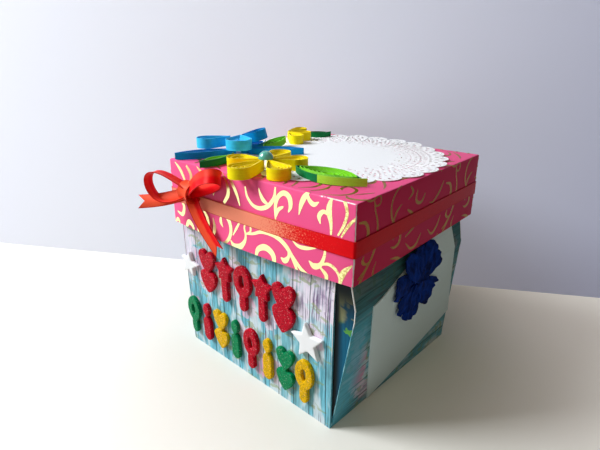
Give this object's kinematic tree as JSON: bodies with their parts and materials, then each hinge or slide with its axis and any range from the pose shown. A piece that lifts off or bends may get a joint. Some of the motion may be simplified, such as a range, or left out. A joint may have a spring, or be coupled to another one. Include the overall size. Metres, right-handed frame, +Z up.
{
  "type": "explosion box",
  "caption": "Folded card explosion box with a lift-off lid, satin bow, paper doily, rolled paper flowers and foam shapes.",
  "frame": {"origin": "middle of the underside of the base, where the box stands", "axes": "+Z up, +X out of the wall with the white card, -Y out of the wall with the foam shapes"},
  "size_m": [0.1199, 0.1384, 0.118],
  "materials": {
    "printed_card": "satin",
    "layer_card": "satin",
    "lid_card": "satin",
    "satin_ribbon": "satin",
    "white_paper": "matte",
    "white_card": "matte",
    "blue_felt": "matte",
    "pearl": "polished",
    "white_foam": "matte",
    "red_foam": "matte",
    "green_foam": "matte",
    "yellow_foam": "matte",
    "yellow_strip": "matte",
    "light_blue_strip": "matte",
    "blue_strip": "matte",
    "light_green_strip": "matte",
    "green_strip": "matte"
  },
  "bodies": {
    "box": {"outer_box": "printed_card", "middle_layer": "layer_card", "inner_layer": "layer_card", "side_card": "white_card", "side_flower": "blue_felt", "foam_lower_1_green_balloon": "green_foam", "foam_lower_2_red_candle": "red_foam", "foam_lower_3_yellow_hearts": "yellow_foam", "foam_lower_4_green_candle": "green_foam", "foam_lower_5_red_balloon": "red_foam", "foam_lower_6_yellow_candle": "yellow_foam", "foam_lower_7_green_hearts": "green_foam", "foam_lower_8_yellow_balloon": "yellow_foam", "foam_upper_1_red_hearts": "red_foam", "foam_upper_2_red_star_stick": "red_foam", "foam_upper_3_red_balloon": "red_foam", "foam_upper_4_red_star_stick": "red_foam", "foam_upper_5_red_hearts": "red_foam", "white_star_left": "white_foam", "white_star_right": "white_foam"},
    "lid": {"blue_heart": "light_blue_strip", "blue_low_petal_1": "blue_strip", "blue_low_petal_2": "blue_strip", "blue_low_petal_3": "blue_strip", "blue_top_petal_1": "light_blue_strip", "blue_top_petal_2": "blue_strip", "half_pearl": "pearl", "leaf_back": "green_strip", "leaf_front_left": "green_strip", "leaf_front_right": "green_strip", "leaf_middle": "light_green_strip", "lid": "lid_card", "paper_doily": "white_paper", "ribbon_band": "satin_ribbon", "ribbon_bow": "satin_ribbon", "yellow_back_petal_1": "yellow_strip", "yellow_back_petal_2": "yellow_strip", "yellow_back_petal_3": "yellow_strip", "yellow_front_petal_1": "yellow_strip", "yellow_front_petal_2": "yellow_strip", "yellow_front_petal_3": "yellow_strip", "yellow_front_petal_4": "yellow_strip", "yellow_front_petal_5": "yellow_strip"}
  },
  "joints": [
    {"name": "lid_lift", "type": "slide", "parent": "box", "child": "lid", "axis": [0, 0, 1], "range_m": [0, 0.12]}
  ]
}
